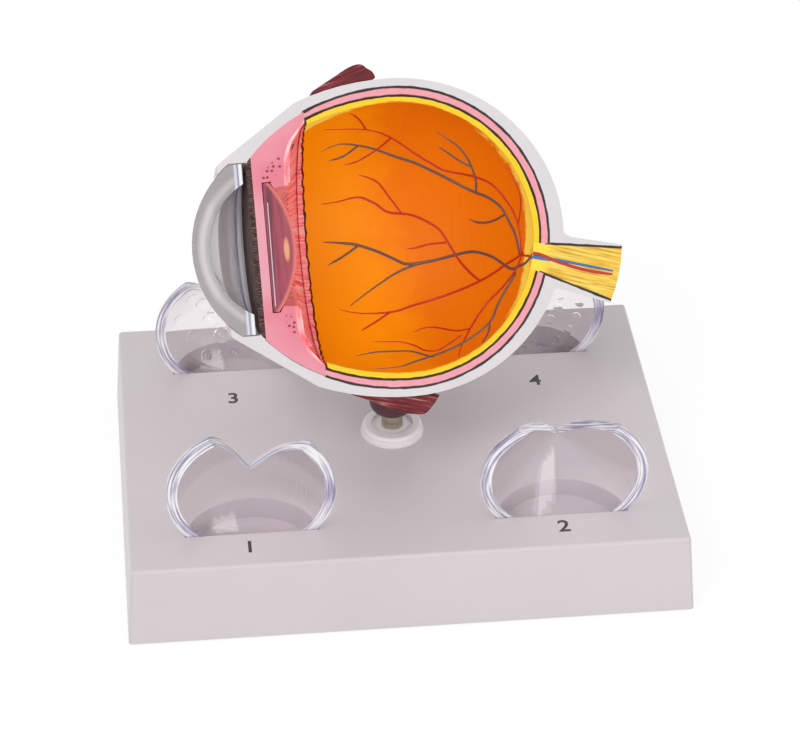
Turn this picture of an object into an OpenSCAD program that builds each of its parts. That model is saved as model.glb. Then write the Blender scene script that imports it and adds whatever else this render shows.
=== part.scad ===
// Eye anatomy model on a display base.
// A half globe, cut open to show its layers, turns on a pin above a moulded base.
// The base holds four clear corneas in half-round pockets, two in front and two behind.
// Millimetres. The origin is the centre of the base's underside, +Z up, -Y towards the viewer.

/* [Base] */
// Length of the base, left to right
base_l = 165.1; // [162:0.1:185]
// Depth of the base, front to back
base_w = 127; // [126:0.1:150]
// Height of the base above the table
base_h = 25.4; // [24:0.1:32]
// Draft of the moulded side walls, in degrees
base_draft = 4; // [2:0.5:6]
// Wall of the moulded base
base_wall = 2.4; // [1.8:0.1:3]
// Cut across the base's upright corners
base_bevel = 0.5; // [0.3:0.1:1.5]
// Radius of the base's top edge
base_edge_r = 1; // [0.6:0.1:2]
// Thickness of the bottom cover
cover_t = 1.8; // [1.4:0.1:2.4]
// Radius of a rubber foot
foot_r = 5; // [3.5:0.5:7]
// Height of a rubber foot
foot_h = 1.6; // [1.2:0.1:2.4]
// Gap between the table and the skirt of the base
skirt_gap = 0.5; // [0.3:0.1:1]
// Radius of a cover screw's shank
screw_r = 1.3; // [1:0.1:1.6]
// Length of a cover screw's shank
screw_l = 7; // [5:0.5:9]

/* [Pockets] */
// Distance from the middle of the base to a pocket's middle, along X
pocket_x = 45.2; // [44:0.1:50]
// Y of the two front corneas' rims, at the top of the base
front_row_y = -46.6; // [-49:0.1:-44]
// Y of the two rear corneas' rims, at the top of the base
rear_row_y = 36.4; // [34:0.1:38]
// Depth that a cornea sinks below the top of the base
pocket_sink = 9; // [8:0.1:11]
// Reach of a pocket behind the rim of its cornea
pocket_reach = 17; // [16:0.5:18]
// Lean of the displayed corneas towards the viewer, in degrees
cornea_lean = 5.5; // [3:0.5:7]
// Lean of the cone-shaped cornea, in degrees
cone_lean = 9; // [5:0.5:11]

/* [Socket and pin] */
// Radius of the socket ring on top of the base
ring_r = 9; // [8.5:0.1:10]
// Height of the socket ring
ring_h = 3; // [2.4:0.1:4]
// Radius of the steel pin
pin_r = 3.2; // [2.8:0.1:3.6]
// Bare length of pin between the ring and the stem
pin_bare = 4.4; // [3:0.1:7]
// Radius of the stem under the globe
stem_r = 6.9; // [6:0.1:8]

/* [Globe] */
// Height of the globe's centre above the top of the base
eye_rise = 68.8; // [66:0.1:74]
// Sideways shift of the globe's centre from the pin
eye_shift = 2.7; // [1:0.1:4]
// Turn of the globe about the pin, in degrees
eye_yaw = 5; // [0:1:10]
// Backward tilt of the cut face, in degrees
eye_tilt = 35; // [30:1:40]
// Roll of the eye's axis in the cut face, front end up, in degrees
eye_roll = 1.2; // [0:0.1:3]
// Outer radius of the globe
globe_r = 46.3; // [45:0.1:48]
// Length from the globe's centre to the point of its front outline
globe_nose = 60.6; // [59:0.1:63]
// Distance from the globe's centre to where its front outline turns straight
taper_z = 27.8; // [26:0.1:30]
// Outer radius of the lip that ends the straight outline
lip_r = 25.4; // [25.2:0.1:27]
// Thickness of the white wall at the back
sclera_t = 2.6; // [2.2:0.1:3.2]
// Thickness of the pink layer
choroid_t = 2.5; // [2:0.1:3]
// Thickness of the yellow layer
retina_t = 2; // [1.5:0.1:2.4]
// Length from the globe's centre to the point of its inner outline
chamber_nose = 52.5; // [51.5:0.1:54]
// Distance from the globe's centre to the serrated edge
ora_z = 25.3; // [24.5:0.1:26]

/* [Front of the eye] */
// Distance from the globe's centre to the front of the iris
iris_z = 43.4; // [43:0.1:44]
// Thickness of the iris
iris_t = 1.6; // [1.2:0.1:2]
// Thickness of the pink wall between the iris and the lens
septum_t = 2.9; // [2.4:0.1:3.2]
// Radius of the lens
lens_r = 18.6; // [17.5:0.1:19.5]
// Thickness of the lens at its edge
lens_edge = 1.7; // [1.4:0.1:2]
// Bulge of the lens behind its edge
lens_bulge = 6.4; // [5.5:0.1:6.8]
// Number of ridges in the half ring of ciliary processes
ridge_count = 56; // [30:2:64]
// Rise of a ridge
ridge_rise = 0.7; // [0.4:0.1:1]
// Outer radius of the cornea on the eye
eye_cornea_r = 24.7; // [24:0.1:25.2]
// Height of the cornea on the eye, from rim to crown
eye_cornea_h = 16.3; // [15:0.1:18]
// Wall of the cornea on the eye at its crown
eye_cornea_t = 4.9; // [4:0.1:5.5]
// Height of the straight skirt on the eye's cornea
eye_cornea_skirt = 3.8; // [3:0.1:4.5]
// Length of the socket lip in front of the iris
lip_len = 8.3; // [7:0.1:9]

/* [Nerve and muscles] */
// Angle of the nerve's root below the eye's axis, in degrees
nerve_low = 12.5; // [10:0.5:15]
// Downward slope of the nerve, in degrees
nerve_slope = 16.7; // [14:0.1:20]
// Length of the nerve from the globe's inner wall
nerve_l = 23.6; // [20:0.1:27]
// Radius of the yellow nerve at its root
nerve_root_r = 4.1; // [3.6:0.1:4.5]
// Radius of the yellow nerve at its end
nerve_end_r = 7.9; // [7.2:0.1:8.4]
// White sheath around the nerve at its end
sheath_t = 0.9; // [0.7:0.1:1.4]
// Radius of a vessel
vessel_r = 0.42; // [0.3:0.02:0.6]
// Half width of the upper and lower muscles, in degrees around the eye's axis
muscle_half_width = 13; // [9:1:16]
// Thickness of a muscle
muscle_t = 4.4; // [3.6:0.1:5.2]
// Distance from the globe's centre to the front tips of the upper and side muscles
muscle_tip_z = 23.4; // [20:0.1:26]
// Distance from the globe's centre to the cut ends of the upper and side muscles
muscle_back_z = 3.6; // [0:0.1:8]
// Distance from the globe's centre to the front tip of the lower muscle
low_muscle_tip_z = 18.2; // [16:0.1:20]
// Distance from the globe's centre to the cut end of the lower muscle
low_muscle_back_z = -6.5; // [-9:0.1:-4]
// Thickness of the lower muscle
low_muscle_t = 5.4; // [4.4:0.1:6]

/* [Displayed corneas] */
// Outer radius of a displayed cornea
disc_r = 24.4; // [24:0.1:26]
// Height of the straight skirt round a displayed cornea
disc_skirt = 1.2; // [0.8:0.1:3]
// Wall of a displayed cornea at its rim
disc_rim_t = 3.2; // [2.6:0.1:3.6]
// Wall of a displayed cornea at its crown
disc_wall = 2.7; // [2.2:0.1:3.2]
// Wall of the swollen cornea at its crown
thick_wall = 4; // [3.4:0.1:4.6]
// Height of the healthy cornea
dome_h = 12.3; // [11:0.1:15]
// Height of the cone-shaped cornea
cone_h = 20.3; // [18:0.1:24]
// Bulge of the cone's flank off a straight line
cone_bulge = 2.1; // [0:0.1:3]
// Width of the notch cut out of each displayed cornea, in degrees
notch_angle = 73; // [60:1:80]
// Radius of the larger blisters
blister_r = 2.6; // [1.8:0.1:3.2]
// Radius of a dimple
dimple_r = 1.5; // [1:0.1:2]

/* [Hidden] */
$fn = 72;
// Cut depth past a face, so that no skin is left
over = 1;
// Running fit of a shaft, on the radius
fit_gap = 0.05;
// Gap between pieces that lift out
slip_gap = 0.3;
// Degrees between the corners in the section of an oval
oval_step = 4.5;
// Turns of the four displayed corneas about their own axes, seen from in front
normal_roll = 8;
cone_roll = 1.5;
rear_roll = 0;

// Heights in the base
cover_top_z = foot_h + cover_t;
roof_z = base_h - base_wall;
foot_inset = 15;
screw_inset_x = base_l / 2 - 9;
screw_inset_y = base_w / 2 - 9;
boss_r = screw_r + 1.8;
screw_head_r = 2 * screw_r;
screw_head_t = 1.2;

// The socket, the pin and the stem, from the bottom up
sleeve_r = pin_r + 1.8;
tower_r = sleeve_r + base_wall;
socket_floor_z = foot_h + cover_t + 3;
pin_foot_z = socket_floor_z + slip_gap;
ring_top_z = base_h + ring_h;
stem_foot_z = ring_top_z + pin_bare;
eye_z = base_h + eye_rise;
stem_cap_t = 2;
pin_top_z = eye_z - globe_r - stem_cap_t;

// Radii of the nested layers, all with the same front point
choroid_r = globe_r - sclera_t;
retina_r = choroid_r - choroid_t;
bowl_r = retina_r - retina_t;

// Stations along the eye's axis, forward of its centre
iris_back_z = iris_z - iris_t;
lens_z = iris_back_z - septum_t;
lens_back_z = lens_z - lens_edge;
lip_z = iris_z + lip_len;
eye_rim_z = iris_z + 1.2;

// Half lens: radius of the ball that shapes its back
lens_ball_r = (lens_r * lens_r + lens_bulge * lens_bulge) / (2 * lens_bulge);

// Ring of ciliary processes in section, [radius, station], from the lens to the serrated edge.
// Each point is given by its shares of the way out and of the way back.
process_start = [lens_r - 1.1, lens_back_z - 4.5];
process_end = [oval_r(retina_r, chamber_nose, ora_z), ora_z];
process_line = [for (share = [[0, 0], [0.425, 0.06], [0.683, 0.31], [1, 1]])
    [process_start[0] + (process_end[0] - process_start[0]) * share[0],
        process_start[1] + (process_end[1] - process_start[1]) * share[1]]];
process_t = 1.1;

// Optic nerve: root on the globe's inner wall, [up, forward]
nerve_root = [-retina_r * sin(nerve_low), -retina_r * cos(nerve_low)];

// Places of the displayed corneas: [X, Y of the rim at the top of the base, lean]
normal_place = [-pocket_x, front_row_y, cornea_lean];
cone_place = [pocket_x, front_row_y, cone_lean];
blistered_place = [-pocket_x, rear_row_y, cornea_lean];
dimpled_place = [pocket_x, rear_row_y, cornea_lean];

// ---------- Curves ----------

// Corner of an oval's section, [radius, station]: a ball behind its centre, drawn out in front
function oval_corner(r, nose, a) = [r * sin(a), -(a > 90 ? nose : r) * cos(a)];

// Radius of an oval at a station, on the straight span between two corners
function oval_r(r, nose, z) =
    let (a = oval_step * floor(acos(-z / (z > 0 ? nose : r)) / oval_step),
        p = oval_corner(r, nose, a), q = oval_corner(r, nose, a + oval_step))
    p[0] + (q[0] - p[0]) * (z - p[1]) / (q[1] - p[1]);

// Section of an oval between two stations; ovals of one size share their corners, so they nest
function oval_part(r, nose, z_from, z_to) =
    concat([[oval_r(r, nose, z_from), z_from]],
        [for (a = [oval_step : oval_step : 180 - oval_step])
            let (p = oval_corner(r, nose, a)) if (p[1] > z_from && p[1] < z_to) p],
        [[oval_r(r, nose, z_to), z_to]]);

// Section of an oval from its back pole to a station
function oval_line(r, nose, z_end) = oval_part(r, nose, -r, z_end);

// Point on a ball of radius r about [0, z0] at a station
function ball_r(r, z0, z) = sqrt(r * r - pow(z - z0, 2));

// Section of a cap from radius r at station z0 to its crown h further on
function cap_line(r, h, z0, steps = 16) =
    let (ball = (r * r + h * h) / (2 * h), last = asin(min(1, r / ball)))
    [for (i = [0 : steps])
        let (a = last * (1 - i / steps))
        [ball * sin(a), z0 + h - ball * (1 - cos(a))]];

function reversed(line) = [for (i = [len(line) - 1 : -1 : 0]) line[i]];

// Unit vector
function unit(v) = v / norm(v);

// A smooth line through points: each span is cut into n steps
function smooth(p, n) =
    [for (i = [0 : len(p) - 2])
        let (a = p[max(i - 1, 0)], b = p[i], c = p[i + 1], d = p[min(i + 2, len(p) - 1)])
        for (k = [0 : n - 1])
            let (t = k / n)
            (2 * b + (c - a) * t + (2 * a - 5 * b + 4 * c - d) * t * t
                + (3 * b - a - 3 * c + d) * t * t * t) / 2,
    p[len(p) - 1]];

// ---------- Base ----------

// Section of a drafted wall with a rounded top edge, from the inside to the outside
function wall_line(reach, h, draft, edge, steps = 5) =
    let (lean = h * tan(draft), turn = 90 - draft)
    [[0, 0], [reach, 0],
        for (i = [0 : steps])
            let (a = draft + turn * i / steps)
            [reach - lean - edge * (1 - sin(draft)) / cos(draft) + edge * cos(a), h - edge + edge * sin(a)],
        [0, h]];

function both_sides(line) = concat(line, [for (p = reversed(line)) [-p[0], p[1]]]);

// Long prism with two drafted sides, turned about Z
module drafted_prism(turn, reach, h, draft, edge) {
    rotate([90, 0, turn])
        linear_extrude(2 * base_l, center = true) polygon(both_sides(wall_line(reach, h, draft, edge)));
}

// Block with drafted sides, bevelled upright corners and a rounded top edge
module drafted_block(l, w, h, bevel, edge) {
    diagonal = (l + w) / sqrt(8) - bevel;
    diagonal_draft = atan(sqrt(2) * tan(base_draft));
    intersection() {
        drafted_prism(0, l / 2, h, base_draft, edge);
        drafted_prism(90, w / 2, h, base_draft, edge);
        drafted_prism(45, diagonal, h, diagonal_draft, edge);
        drafted_prism(-45, diagonal, h, diagonal_draft, edge);
    }
}

// The middle of a displayed cornea's rim, with the notch up and the crown behind
module at_disc(place) {
    translate([place[0], place[1], base_h]) rotate([place[2], 0, 0])
        translate([0, 0, disc_r - pocket_sink]) children();
}

// Half-round prism that fills a pocket, grown by a wall on every side but the top.
// Its arc is as wide as the cornea where the skirt of the cornea ends.
module pocket_fill(grow) {
    half = sqrt(disc_r * disc_r - pow(disc_r - pocket_sink, 2)) + 2 * slip_gap;
    front = slip_gap;
    run = pocket_reach - disc_skirt;
    ball = (half * half + run * run) / (2 * run);
    middle = pocket_reach - ball;
    foot = -disc_r - slip_gap;
    tall = disc_r + slip_gap + grow;
    translate([0, 0, foot - grow])
        intersection() {
            translate([0, middle, 0]) cylinder(h = tall, r = ball + grow);
            translate([-half - grow, -front - grow, -over])
                cube([2 * (half + grow), 2 * ball + 2 * grow, tall + 2 * over]);
        }
}

module each_pocket() {
    for (place = [normal_place, cone_place, blistered_place, dimpled_place]) at_disc(place) children();
}

module each_screw() {
    for (x = [-screw_inset_x, screw_inset_x], y = [-screw_inset_y, screw_inset_y])
        translate([x, y, 0]) children();
}

module base_housing() {
    color("gainsboro")
    difference() {
        union() {
            difference() {
                translate([0, 0, skirt_gap])
                    drafted_block(base_l, base_w, base_h - skirt_gap, base_bevel, base_edge_r);
                translate([0, 0, skirt_gap - over])
                    drafted_block(base_l - 2 * base_wall, base_w - 2 * base_wall,
                        roof_z - skirt_gap + over, base_bevel, base_edge_r / 2);
            }
            intersection() {
                each_pocket() pocket_fill(base_wall);
                translate([-base_l / 2, -base_w / 2, 0]) cube([base_l, base_w, base_h - base_edge_r]);
            }
            translate([0, 0, socket_floor_z - base_wall])
                cylinder(h = roof_z - socket_floor_z + 2 * base_wall, r = tower_r);
            each_screw()
                translate([0, 0, cover_top_z])
                    cylinder(h = roof_z - cover_top_z + base_wall / 2, r = boss_r);
        }
        each_pocket() pocket_fill(0);
        translate([0, 0, socket_floor_z])
            cylinder(h = base_h, r = sleeve_r);
        each_screw()
            translate([0, 0, cover_top_z - over]) cylinder(h = screw_l + 2 * over, r = screw_r + fit_gap);
    }
}

module bottom_cover() {
    edge_gap = 0.8;
    l = base_l - 2 * (base_wall + edge_gap);
    w = base_w - 2 * (base_wall + edge_gap);
    r = 2 * base_bevel;
    color("silver")
    translate([0, 0, foot_h])
        difference() {
            union() {
                translate([-l / 2 + r, -w / 2, 0]) cube([l - 2 * r, w, cover_t]);
                translate([-l / 2, -w / 2 + r, 0]) cube([l, w - 2 * r, cover_t]);
                for (x = [-1, 1], y = [-1, 1])
                    translate([x * (l / 2 - r), y * (w / 2 - r), 0]) cylinder(h = cover_t, r = r);
            }
            each_screw() translate([0, 0, -over]) cylinder(h = cover_t + 2 * over, r = screw_r + fit_gap);
        }
}

module cover_screws() {
    color("dimgray")
    each_screw() {
        translate([0, 0, foot_h - screw_head_t]) cylinder(h = screw_head_t, r = screw_head_r);
        translate([0, 0, foot_h - screw_head_t]) cylinder(h = screw_head_t + screw_l, r = screw_r);
    }
}

// One foot under the cover; x and y are -1 or 1
module foot(x, y) {
    color("dimgray")
    translate([x * (base_l / 2 - foot_inset - foot_r), y * (base_w / 2 - foot_inset - foot_r), 0])
        cylinder(h = foot_h, r = foot_r);
}

module foot_front_left() foot(-1, -1);
module foot_front_right() foot(1, -1);
module foot_rear_left() foot(-1, 1);
module foot_rear_right() foot(1, 1);

// Moulded bush: a stepped ring on the base and a sleeve down to the socket's floor
module socket_ring() {
    flange_t = 0.5;
    round_r = 1;
    step_r = ring_r * 0.7;
    step_z = ring_top_z - 0.9;
    lip_r = ring_r * 0.54;
    lip_top_z = ring_top_z - 0.5;
    bore = pin_r + fit_gap;
    color("gainsboro")
    rotate_extrude()
        polygon([[bore, socket_floor_z], [sleeve_r, socket_floor_z], [sleeve_r, base_h],
            [ring_r + flange_t, base_h], [ring_r + flange_t, base_h + flange_t],
            [ring_r, base_h + flange_t],
            for (a = [0 : 15 : 90])
                [ring_r - round_r + round_r * cos(a), ring_top_z - round_r + round_r * sin(a)],
            [step_r, ring_top_z], [step_r, step_z], [lip_r, step_z], [lip_r, lip_top_z], [bore, lip_top_z]]);
}

// Steel pin with chamfered ends, free to turn in the socket
module support_pin() {
    chamfer = 0.5;
    color("tan")
    rotate_extrude()
        polygon([[0, pin_foot_z], [pin_r - chamfer, pin_foot_z], [pin_r, pin_foot_z + chamfer],
            [pin_r, pin_top_z - chamfer], [pin_r - chamfer, pin_top_z], [0, pin_top_z]]);
}

// ---------- Eye frame ----------

// Children are drawn with X up in the cut face, Y behind it and Z along the axis to the front
module in_eye() {
    translate([eye_shift, 0, eye_z]) rotate([0, 0, eye_yaw]) rotate([-eye_tilt, 0, 0])
        rotate([0, eye_roll - 90, 0]) children();
}

// Half of a turned shape, behind the cut face
module half_turned() {
    rotate_extrude(angle = 180) children();
}

// A turned solid of the oval from the back pole to a station
module oval_solid(r, nose, z_end) {
    rotate_extrude() polygon(concat(oval_line(r, nose, z_end), [[0, z_end]]));
}

// The nerve's own frame: Z along it, away from the globe, Y still behind the cut face
module on_nerve() {
    translate([nerve_root[0], 0, nerve_root[1]]) rotate([0, 180 + nerve_slope, 0]) children();
}

// Radius of the yellow nerve at a distance from its root
function nerve_r(s) = nerve_root_r + (nerve_end_r - nerve_root_r) * s / nerve_l;

// Section of the nerve, from inside the bowl to its slightly domed end
module nerve_section(grow) {
    start = -4;
    end_dome = 0.7;
    polygon([[0, start], [nerve_r(start) + grow, start], [nerve_r(nerve_l) + grow, nerve_l],
        [(nerve_r(nerve_l) + grow) / 2, nerve_l + 0.75 * end_dome], [0, nerve_l + end_dome]]);
}

module nerve_cutter() {
    on_nerve() rotate_extrude() nerve_section(0);
}

// ---------- Eye ----------

// Dark stem under the globe, round at the bottom, with a blind hole for the pin
module support_stem() {
    dome_h = 4.2;
    bore_r = pin_r + fit_gap;
    color("#5f373e")
    difference() {
        rotate_extrude()
            polygon([[0, stem_foot_z],
                for (a = [20 : 10 : 90])
                    [bore_r + (stem_r - bore_r) * sin(a), stem_foot_z + dome_h * (1 - cos(a))],
                [stem_r, eye_z - globe_r + 6], [0, eye_z - globe_r + 6]]);
        translate([0, 0, stem_foot_z - over])
            cylinder(h = pin_top_z + slip_gap - stem_foot_z + over, r = bore_r);
        in_eye() oval_solid(globe_r, globe_nose, iris_z);
    }
}

// White shell: outer and inner ovals, the lip that holds the cornea, and the nerve's sheath
module sclera_shell() {
    socket_r = eye_cornea_r + slip_gap;
    crown = eye_rim_z + eye_cornea_h;
    cap_h = eye_cornea_h - eye_cornea_skirt;
    ball = (eye_cornea_r * eye_cornea_r + cap_h * cap_h) / (2 * cap_h) + slip_gap;
    color("whitesmoke")
    in_eye() difference() {
        union() {
            half_turned() polygon(concat(oval_line(globe_r, globe_nose, taper_z),
                [[lip_r, lip_z - 0.8], [lip_r - 0.8, lip_z], [0, lip_z]]));
            on_nerve() half_turned() sheath_section();
        }
        oval_solid(choroid_r, chamber_nose, iris_z);
        translate([0, 0, iris_z - over / 10])
            intersection() {
                cylinder(h = lip_len + 2 * over, r = socket_r);
                translate([0, 0, crown + slip_gap - ball - iris_z]) sphere(r = ball);
            }
        nerve_cutter();
    }
}

// Section of the nerve's sheath with its flare into the globe
module sheath_section() {
    flare = 3.2;
    flare_end = 9;
    neck_t = 2.2;
    bite = 0.6;
    globe_wall = sclera_t + choroid_t;
    run = flare_end - globe_wall;
    polygon([[0, 0], [nerve_r(0) + globe_wall + flare, 0],
        for (a = [0 : 15 : 90])
            [nerve_r(flare_end) + neck_t + flare * (1 - sin(a)), globe_wall - bite + run * (1 - cos(a))],
        [nerve_r(nerve_l) + sheath_t, nerve_l], [0, nerve_l]]);
}

// One layer between two ovals, ending at the serrated edge
module layer(outer, inner) {
    difference() {
        half_turned() polygon(concat(oval_line(outer, chamber_nose, ora_z),
            reversed(oval_line(inner, chamber_nose, ora_z))));
        nerve_cutter();
    }
}

module choroid_layer() {
    color("#e9969f") in_eye() layer(choroid_r, retina_r);
}

module retina_layer() {
    color("#ee8205") in_eye() layer(retina_r, bowl_r);
}

// Pink wedge behind the iris: a ring that carries the lens and the wall in front of it
module ciliary_body() {
    seat_r = lens_r + slip_gap;
    color("#e8829a")
    in_eye() half_turned() polygon(concat(oval_part(choroid_r, chamber_nose, ora_z, iris_back_z),
        [[0, iris_back_z], [0, lens_z + slip_gap], [seat_r, lens_z + slip_gap],
        [seat_r, lens_back_z - slip_gap], [lens_r - 1.6, lens_back_z - 1.4]],
        process_line));
}

// Ridged band between the lens and the serrated edge; each ridge is rooted in the band
module ciliary_processes() {
    pitch = 180 / ridge_count;
    ridge_angle = pitch * 0.55;
    inset = 0.8;
    last = len(process_line) - 1;
    band = concat(process_line, [[process_line[last][0] - inset, ora_z]],
        [for (i = [last - 1 : -1 : 0]) process_line[i] - [0, process_t]]);
    // Stations of a ridge, kept short of both edges of the band
    mid_line = [process_line[0] + [inset, 0], process_line[1], process_line[2] - [inset, 0]];
    ridge = concat([for (p = mid_line) p - [0, process_t / 2]],
        [for (p = reversed(mid_line)) p - [0, process_t + ridge_rise]]);
    color("#dc505f")
    in_eye() {
        half_turned() polygon(band);
        for (k = [0 : ridge_count - 1])
            rotate([0, 0, pitch * (k + 0.25)]) rotate_extrude(angle = ridge_angle) polygon(ridge);
    }
}

// Half disc in front of the pink wall
module iris() {
    color("#3c2d2d")
    in_eye() half_turned()
        polygon(concat([[0, iris_back_z]], oval_part(choroid_r, chamber_nose, iris_back_z, iris_z),
            [[0, iris_z]]));
}

// Clear half lens, nearly flat in front and domed behind
module lens() {
    front_bulge = 0.2;
    color("#a55a78", 0.6)
    in_eye() half_turned()
        polygon(concat([[0, lens_z + front_bulge], [lens_r / 2, lens_z + 0.75 * front_bulge],
                [lens_r, lens_z]],
            [for (p = cap_line(lens_r, lens_bulge, 0)) [p[0], lens_back_z - p[1]]]));
}

// Clear half cornea in the lip
module cornea_on_eye() {
    cap_h = eye_cornea_h - eye_cornea_skirt;
    inner_r = eye_cornea_r - eye_cornea_t - 0.9;
    color("#e6e6f0", 0.4)
    in_eye() translate([0, 0, eye_rim_z]) half_turned()
        polygon(concat([[inner_r, 0], [eye_cornea_r, 0]],
            cap_line(eye_cornea_r, cap_h, eye_cornea_skirt),
            reversed(cap_line(inner_r, eye_cornea_h - eye_cornea_t, 0))));
}

// ---------- Nerve and vessels ----------

module optic_nerve() {
    color("#f0c846")
    in_eye() difference() {
        on_nerve() half_turned() nerve_section(0);
        oval_solid(bowl_r, chamber_nose, ora_z);
    }
}

// Tube along points; ups are directions across it
module tube(p, r, ups, sides = 6) {
    n = len(p);
    points = [for (i = [0 : n - 1])
        let (along = unit(p[min(i + 1, n - 1)] - p[max(i - 1, 0)]),
            across = unit(cross(along, ups[i])), up = cross(across, along))
        for (k = [0 : sides - 1])
            let (a = 360 * k / sides)
            p[i] + r * (cos(a) * across + sin(a) * up)];
    faces = concat([[for (k = [0 : sides - 1]) k]],
        [for (i = [0 : n - 2], k = [0 : sides - 1])
            let (a = i * sides + k, b = i * sides + (k + 1) % sides)
            each [[a, a + sides, b], [b, a + sides, b + sides]]],
        [[for (k = [sides - 1 : -1 : 0]) (n - 1) * sides + k]]);
    polyhedron(points, faces);
}

// Point on the bowl: degrees round the axis from the top of the cut face, degrees from the back pole
function on_bowl(g, r = bowl_r) =
    let (nose = g[1] > 90 ? chamber_nose * r / bowl_r : r)
    [r * sin(g[1]) * cos(g[0]), r * sin(g[1]) * sin(g[0]), -nose * cos(g[1])];

// Vessels laid on the bowl; sunk is the share of a vessel's radius below the surface
module vessels(routes, r, sunk) {
    for (route = routes) {
        line = [for (g = smooth(route, 2)) on_bowl(g, bowl_r + r * (sunk - 0.5))];
        tube(line, r, [for (p = line) -unit(p)]);
    }
}

// Routes of the vessels, as [round the axis, from the back pole] in degrees
artery_trunk_routes = [
    [[23, 110], [27, 104], [31, 95], [38, 85], [48, 70], [54, 58], [54, 44], [55, 35], [66, 27], [86, 20]],
    [[69, 110], [69, 104], [68, 97], [71, 92], [76, 86], [78, 75], [82, 67], [92, 61], [101, 57], [116, 48]],
    [[122, 20], [119, 34], [119, 46], [118, 58], [119, 76], [122, 88], [122, 100], [120, 107]],
    [[137, 23], [136, 42], [148, 57], [160, 64], [170, 68]]];

artery_branch_routes = [
    [[11, 102], [21, 98], [31, 95]],
    [[51, 102], [50, 97], [45, 91], [38, 85]],
    [[21, 30], [26, 24], [44, 23], [66, 27]],
    [[57, 97], [61, 91], [68, 86], [77, 80]],
    [[93, 79], [92, 71], [92, 61]],
    [[132, 101], [122, 90]],
    [[135, 81], [136, 73], [142, 65], [148, 57]],
    [[139, 98], [140, 89], [147, 80], [155, 73], [160, 64]]];

vein_trunk_routes = [
    [[40, 110], [38, 104], [41, 97], [48, 85], [52, 74], [57, 65], [64, 45], [67, 35], [76, 28], [95, 21]],
    [[87, 110], [88, 104], [90, 97], [97, 85], [100, 79]],
    [[118, 103], [112, 97], [105, 88], [101, 77], [100, 67], [100, 49], [104, 41], [112, 33], [124, 26]],
    [[137, 23], [144, 37], [155, 47], [158, 62], [157, 76], [163, 92], [166, 100]]];

vein_branch_routes = [
    [[47, 107], [46, 102], [41, 97]],
    [[29, 65], [33, 57], [44, 48], [56, 46], [64, 45]],
    [[40, 64], [44, 57], [46, 53], [47, 50]],
    [[80, 49], [83, 42], [81, 35], [76, 28]],
    [[98, 109], [94, 103], [90, 98]],
    [[155, 47], [164, 54], [170, 62]],
    [[151, 105], [147, 98], [147, 90], [150, 82], [157, 76]]];

module arterial_trunks() {
    color("#be190f") in_eye() vessels(artery_trunk_routes, vessel_r, 0.3);
}

module arterial_branches() {
    color("#be190f") in_eye() vessels(artery_branch_routes, 0.8 * vessel_r, 0.3);
}

module venous_trunks() {
    color("#5f5f6e") in_eye() vessels(vein_trunk_routes, vessel_r, 0.7);
}

module venous_branches() {
    color("#5f5f6e") in_eye() vessels(vein_branch_routes, 0.8 * vessel_r, 0.7);
}

// A vessel along the nerve, proud of the cut face: shares of the root's radius and of the length
module nerve_vessel(route) {
    r = 2 * vessel_r;
    line = [for (p = smooth(route, 2)) [p[0] * nerve_root_r, -r * 0.2, p[1] * nerve_l]];
    in_eye() on_nerve() tube(line, r, [for (p = line) [0, -1, 0]], 8);
}

module nerve_artery() {
    color("#be190f")
    nerve_vessel([[0.15, 0.02], [0.05, 0.17], [0.22, 0.34], [0.15, 0.55], [0.29, 0.76], [0.32, 0.93]]);
}

module nerve_vein() {
    color("#416ea0")
    nerve_vessel([[-0.29, 0.02], [-0.39, 0.17], [-0.29, 0.34], [-0.32, 0.55], [-0.22, 0.76], [-0.2, 0.93]]);
}

// ---------- Muscles ----------

// Section of a muscle: a strap that lies on the globe in front and lifts off it to a round end
module muscle_section(tip, back, t) {
    run = tip - back;
    seat = [for (share = [1, 0.81, 0.63, 0.44])
        let (z = back + run * share) [oval_r(globe_r, globe_nose, z), z]];
    // Outer line from the round end to the thin tip, [share of the thickness, share of the length]
    crown = [[0, 0.05], [0.36, 0], [0.68, 0.04], [0.98, 0.17], [0.93, 0.32], [0.69, 0.47], [0.24, 0.67],
        [-0.2, 0.85]];
    polygon(concat(seat, [for (p = crown) [globe_r + p[0] * t, back + run * p[1]]]));
}

module muscle(middle, half, tip, back, t) {
    color("#732328")
    in_eye() difference() {
        rotate([0, 0, middle - half]) rotate_extrude(angle = 2 * half) muscle_section(tip, back, t);
        oval_solid(globe_r, globe_nose, iris_z);
        translate([-2 * globe_r, -2 * globe_r, -2 * globe_r]) cube([4 * globe_r, 2 * globe_r, 4 * globe_r]);
    }
}

module superior_rectus() muscle(0, muscle_half_width, muscle_tip_z, muscle_back_z, muscle_t);

module inferior_rectus() {
    muscle(180, muscle_half_width, low_muscle_tip_z, low_muscle_back_z, low_muscle_t);
}

module lateral_rectus() muscle(90, muscle_half_width, muscle_tip_z, muscle_back_z, muscle_t);

// ---------- Displayed corneas ----------

// Children are sections of [radius, height]; the notch is up and rolled clockwise from in front
module notched(roll) {
    rotate([-90, 0, 0]) rotate([0, 0, 270 + roll + notch_angle / 2])
        rotate_extrude(angle = 360 - notch_angle) children();
}

// Section of a domed cornea
module dome_section(h, wall) {
    inner_r = disc_r - disc_rim_t;
    polygon(concat([[inner_r, 0], [disc_r, 0]], cap_line(disc_r, h - disc_skirt, disc_skirt),
        reversed(cap_line(inner_r, h - wall - disc_skirt / 2, disc_skirt / 2))));
}

module normal_cornea() {
    color("#e6e6f0", 0.4)
    at_disc(normal_place) notched(normal_roll) dome_section(dome_h, disc_wall);
}

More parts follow.
